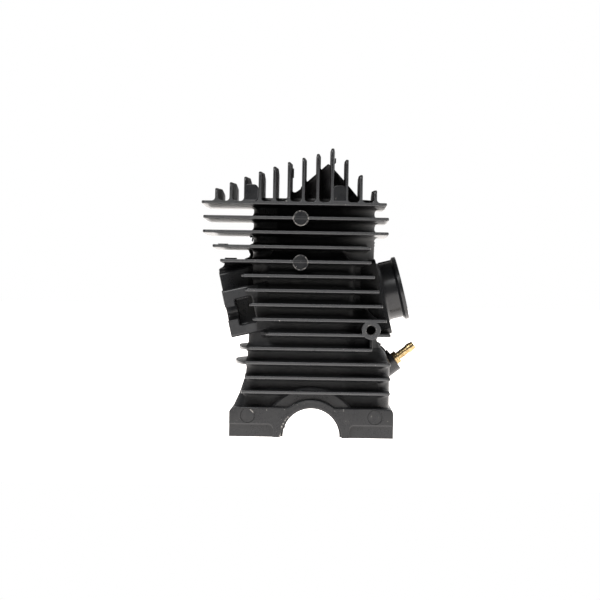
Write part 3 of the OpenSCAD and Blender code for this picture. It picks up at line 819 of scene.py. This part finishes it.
PEGS = [Matrix.Translation((0, 0, h)) @ Matrix.Rotation(math.radians(turn), 4, "Z")
        @ Matrix.Rotation(math.radians(90), 4, "Y") for _, h, turn in RINGS]
cuts += [lathe("peg hole", [(0.61, 19.8), (0.61, 22.6)], place, 24) for place in PEGS]
combine(piston, cuts, "DIFFERENCE")
alloy = Shader("piston alloy", Metallic=1.0)
x, y, z = alloy.axes()
radius = alloy.length(x, y)
pin_radius = alloy.length(x, z - PIN_Z)
top = alloy.step(z, 98.5, 98.9)
bored = (pin_radius < 5.6) * (abs(y) > 7.7)
outside = alloy.either(radius > 21.1, bored)
marks = alloy.lines(alloy.mix(top, z, radius), 0.16)
skin = alloy.noise(0.7, 4, 0.65)
stain = alloy.step(alloy.noise(14, 3, 0.5), 0.35, 0.7)
cast = 1 - alloy.either(outside, z > 97)
alloy.set("Base Color", alloy.mix(cast, alloy.mix(stain, (0.74, 0.74, 0.75, 1), (0.66, 0.655, 0.65, 1)),
                                  (0.50, 0.495, 0.49, 1)))
alloy.set("Roughness", 0.2 + marks * 0.16 + cast * 0.26)
alloy.bump(marks * (1 - cast) * 0.3 + skin * cast, 0.07, 0.7)
dress(piston, alloy, "piston", "piston", 30)

# ---- Piston rings ----------------------------------------------------------------------------
# Two plain cast-iron rings of one section. The gap of each has a notch inside that straddles a
# peg in the groove, so the ends can't turn into a port. The face on the bore is lapped bright.
rings = []
for node, height, turn in RINGS:
    section = [(21.4, -0.65), (21.5, -0.75), (23.37, -0.75), (23.49, -0.66), (23.49, 0.66), (23.37, 0.75),
               (21.5, 0.75), (21.4, 0.65)]
    ring = lathe(node, [(r, height + h) for r, h in section], Matrix(), 128, True)
    place = Matrix.Rotation(math.radians(turn), 4, "Z")
    through = (height - 2, height + 2)
    gap = bar("gap", round_box((20, 25), (-0.2, 0.2), 0.02, 1), through, 0.01, "z", place)
    notch = bar("notch", round_box((20, 22.55), (-0.75, 0.75), 0.25, 3), through, 0.01, "z", place)
    combine(ring, [gap, notch], "DIFFERENCE")
    rings.append((ring, node))
iron = Shader("ring iron", Metallic=1.0)
x, y, z = iron.axes()
radius = iron.length(x, y)
lapped = iron.step(radius, 23.40, 23.46)
marks = iron.mix(lapped, iron.lines(radius, 0.12), iron.lines(z, 0.1))
dark = iron.step(iron.noise(3, 3, 0.5), 0.4, 0.65)
iron.set("Base Color", iron.mix(lapped, iron.mix(dark, (0.30, 0.30, 0.31, 1), (0.22, 0.22, 0.225, 1)),
                                (0.58, 0.58, 0.59, 1)))
iron.set("Roughness", 0.4 - lapped * 0.18 + marks * 0.12)
iron.bump(marks, 0.015, 0.5)
for ring, node in rings:
    dress(ring, iron, "piston", node, 25)

# ---- Ring pegs, gudgeon pin and circlips -----------------------------------------------------
# The pegs are pressed radially into the groove floors. The hollow gudgeon pin is hardened and
# ground, its bore coned at both ends; a round wire clip in a groove at either end keeps it in.
dowels = [lathe("peg", [(0.45, 19.8), (0.6, 19.95), (0.6, 22.2), (0.42, 22.4)], place, 24) for place in PEGS]
pegs = combine(dowels[0], dowels[1:], "UNION")
half_pin = [(3.9, -17), (4.7, -17), (4.9, -16.9), (4.98, -16.6)]
half_bore = [(3.0, 12.5), (3.75, 16.7)]
pin = lathe("pin", half_pin + [(r, -h) for r, h in half_pin[::-1]] + half_bore[::-1]
            + [(r, -h) for r, h in half_bore], ACROSS, 64, True)
steel = Shader("bright steel", Metallic=1.0)
x, y, z = steel.axes()
ground = steel.lines(y, 0.07)
smear = steel.step(steel.noise(4, 3, 0.5), 0.45, 0.7)
inside = (steel.length(x, z - PIN_Z) < 4.2) * (abs(y) < 17.2)
steel.set("Base Color", steel.mix(inside, (0.70, 0.71, 0.72, 1), (0.42, 0.42, 0.43, 1)))
steel.set("Roughness", 0.1 + ground * 0.08 + smear * 0.06 + inside * 0.2)
steel.bump(ground, 0.006, 0.4)
dress(pegs, steel, "piston", "ring_pins", 25)
dress(pin, steel, "gudgeon_pin", "gudgeon_pin", 25)


def wire_clip(name, depth):
    """Open ring of round wire in the plane y = depth, its ends rounded off."""
    loops = []
    for k, degrees in enumerate(np.linspace(60.5, 359.5, 61)):
        turn = math.radians(degrees)
        out = Vector((math.cos(turn), 0, -math.sin(turn)))
        wire = 0.3 if k in (0, 60) else 0.5
        section = [(wire * math.cos(t), wire * math.sin(t)) for t in np.arange(16) * math.pi / 8]
        loops.append([tuple(out * (4.98 + u) + Vector((0, depth + v, PIN_Z))) for u, v in section])
    return stack(name, loops)


spring = Shader("spring steel", Metallic=1.0)
oil = spring.step(spring.noise(1.8, 4, 0.6), 0.4, 0.7)
fine = spring.noise(0.25, 3, 0.6)
spring.set("Base Color", spring.mix(oil, (0.42, 0.42, 0.43, 1), (0.27, 0.26, 0.25, 1)))
spring.set("Roughness", 0.24 + fine * 0.14 + oil * 0.1)
spring.bump(fine, 0.01, 0.5)
dress(wire_clip("clip", -17.8), spring, "piston", "circlip_front", 40)
dress(wire_clip("clip", 17.8), spring, "piston", "circlip_rear", 40)

# ---- Small-end bearing -----------------------------------------------------------------------
# Twelve loose needles run straight on the gudgeon pin, kept apart by a pierced steel cage. The
# windows are cut with the same ring of copies that lays out the needles.
ring_tree = bpy.data.node_groups.new("ring of copies", "GeometryNodeTree")
sockets = {}
for label, kind in (("Geometry", "NodeSocketGeometry"), ("Copies", "NodeSocketInt"),
                    ("Ring Radius", "NodeSocketFloat"), ("Axis Height", "NodeSocketFloat"),
                    ("Material", "NodeSocketMaterial")):
    sockets[label] = ring_tree.interface.new_socket(label, in_out="INPUT", socket_type=kind).identifier
ring_tree.interface.new_socket("Geometry", in_out="OUTPUT", socket_type="NodeSocketGeometry")


def tree_node(kind, *joins, **values):
    """A node of the ring tree, with its inputs joined or set by name."""
    made = ring_tree.nodes.new(kind)
    if "operation" in values:
        made.operation = values.pop("operation")
    for name, source in joins:
        ring_tree.links.new(source, made.inputs[name])
    for name, value in values.items():
        made.inputs[name].default_value = value
    return made


given = ring_tree.nodes.new("NodeGroupInput").outputs
lift = tree_node("ShaderNodeCombineXYZ", ("Z", given["Ring Radius"]))
moved = tree_node("GeometryNodeTransform", ("Geometry", given["Geometry"]), ("Translation", lift.outputs[0]))
step = tree_node("ShaderNodeMath", (1, given["Copies"]), operation="DIVIDE")
step.inputs[0].default_value = 2 * math.pi
index = tree_node("GeometryNodeInputIndex")
turned = tree_node("ShaderNodeMath", (0, index.outputs[0]), (1, step.outputs[0]), operation="MULTIPLY")
spin = tree_node("ShaderNodeCombineXYZ", ("Y", turned.outputs[0]))
dots = tree_node("GeometryNodeMeshLine", ("Count", given["Copies"]), Offset=(0, 0, 0))
copies = tree_node("GeometryNodeInstanceOnPoints", ("Points", dots.outputs[0]),
                   ("Instance", moved.outputs[0]), ("Rotation", spin.outputs[0]))
axis = tree_node("ShaderNodeCombineXYZ", ("Z", given["Axis Height"]))
real = tree_node("GeometryNodeRealizeInstances", ("Geometry", copies.outputs[0]))
placed = tree_node("GeometryNodeTransform", ("Geometry", real.outputs[0]), ("Translation", axis.outputs[0]))
painted = tree_node("GeometryNodeSetMaterial", ("Geometry", placed.outputs[0]),
                    ("Material", given["Material"]))
tree_node("NodeGroupOutput", ("Geometry", painted.outputs[0]))


def ring_of_copies(piece, count, radius, material):
    """Replaces one piece, made at the origin, by a ring of copies round the gudgeon pin."""
    step = piece.modifiers.new("ring", "NODES")
    step.node_group = ring_tree
    for label, value in (("Copies", count), ("Ring Radius", radius * MM), ("Axis Height", PIN_Z * MM),
                         ("Material", material)):
        step[sockets[label]] = value
    piece.update_tag()
    graph = bpy.context.evaluated_depsgraph_get()
    mesh = bpy.data.meshes.new_from_object(piece.evaluated_get(graph))
    piece.modifiers.clear()
    piece.data = mesh
    return piece


NEEDLE_COUNT, NEEDLE_ORBIT = 12, 6
roller = [(0.72, -5.5), (0.92, -5.42), (1.0, -5.22), (1.0, 5.22), (0.92, 5.42), (0.72, 5.5)]
needles = ring_of_copies(lathe("needles", roller, FRONT, 24), NEEDLE_COUNT, NEEDLE_ORBIT, steel.material)
cage_half = [(5.4, -7), (6.55, -7), (6.7, -6.85)]
cage = lathe("cage", cage_half + [(r, -h) for r, h in cage_half[::-1]] + [(5.3, 6.9), (5.3, -6.9)],
             ACROSS, 96, True)
window = bar("window", round_box((-1.05, 1.05), (-2, 2), 0.05, 1), (-5.55, 5.55), 0.01)
combine(cage, [ring_of_copies(window, NEEDLE_COUNT, NEEDLE_ORBIT, spring.material)], "DIFFERENCE")
dress(needles, steel, "small_end_bearing", "needle_rollers", 30)
dress(cage, spring, "small_end_bearing", "bearing_cage", 25)

# ---- Floor, light and camera -----------------------------------------------------------------
# A white table and a white room, as for a catalogue picture: light comes from all round, and a
# large soft lamp in front gives the faces that look at the viewer their grey.
TABLE_FRONT = -300
floor = solid("floor", [(-3000, TABLE_FRONT, 0), (3000, TABLE_FRONT, 0), (3000, 6000, 0), (-3000, 6000, 0)],
              [(0, 1, 2, 3)])
white = Shader("white table", Base_Color=(0.6, 0.6, 0.6, 1), Roughness=0.7,
               Emission_Color=(1, 0.95, 0.915, 1), Emission_Strength=2.0)
floor.data.materials.append(white.material)

room = bpy.data.worlds.new("white room")
room.use_nodes = True
nodes, links = room.node_tree.nodes, room.node_tree.links
backdrop = nodes["Background"]
side = nodes.new("ShaderNodeSeparateXYZ")
fall = nodes.new("ShaderNodeMapRange")
seen = nodes.new("ShaderNodeLightPath")
across = nodes.new("ShaderNodeMapRange")
both = nodes.new("ShaderNodeMath")
both.operation = "MULTIPLY"
most = nodes.new("ShaderNodeMath")
most.operation = "MAXIMUM"
links.new(nodes.new("ShaderNodeTexCoord").outputs["Generated"], side.inputs[0])
links.new(side.outputs["Y"], fall.inputs["Value"])
links.new(side.outputs["X"], across.inputs["Value"])
for ramp, values in ((fall, (-0.35, 0.15, 0.08, 0.75)), (across, (-0.12, 0.04, 0.35, 1.0))):
    for socket, value in zip(("From Min", "From Max", "To Min", "To Max"), values):
        ramp.inputs[socket].default_value = value
links.new(fall.outputs[0], both.inputs[0])
links.new(across.outputs[0], both.inputs[1])
links.new(both.outputs[0], most.inputs[0])
links.new(seen.outputs["Is Camera Ray"], most.inputs[1])
links.new(most.outputs[0], backdrop.inputs["Strength"])
backdrop.inputs["Color"].default_value = (1, 1, 1, 1)
bpy.context.scene.world = room


def lamp(name, at, aim, size, watts):
    """A square soft lamp at a place in metres, aimed at a point."""
    light = bpy.data.lights.new(name, "AREA")
    light.size, light.energy = size, watts
    holder = bpy.data.objects.new(name, light)
    holder.location = at
    holder.rotation_euler = (Vector(aim) - Vector(at)).to_track_quat("-Z", "Y").to_euler()
    bpy.context.scene.collection.objects.link(holder)


lamp("front softbox", (-0.3, -0.8, 0.7), (0, 0, 0.06), 0.4, 5.0)

CAMERA_AT = Vector((0.005, -1.119, 0.074))
CAMERA_AIM = Vector((-0.0063, -0.041, 0.0661))
CAMERA_ROLL = 0.95
camera_data = bpy.data.cameras.new("camera")
camera_data.sensor_width, camera_data.lens = 36.0, 134.8
camera = bpy.data.objects.new("camera", camera_data)
camera.location = CAMERA_AT
facing = (CAMERA_AIM - CAMERA_AT).to_track_quat("-Z", "Y").to_matrix()
camera.rotation_euler = (facing @ Matrix.Rotation(math.radians(CAMERA_ROLL), 3, "Z")).to_euler()
bpy.context.scene.collection.objects.link(camera)
bpy.context.scene.camera = camera
bpy.context.scene.view_settings.view_transform = "Standard"
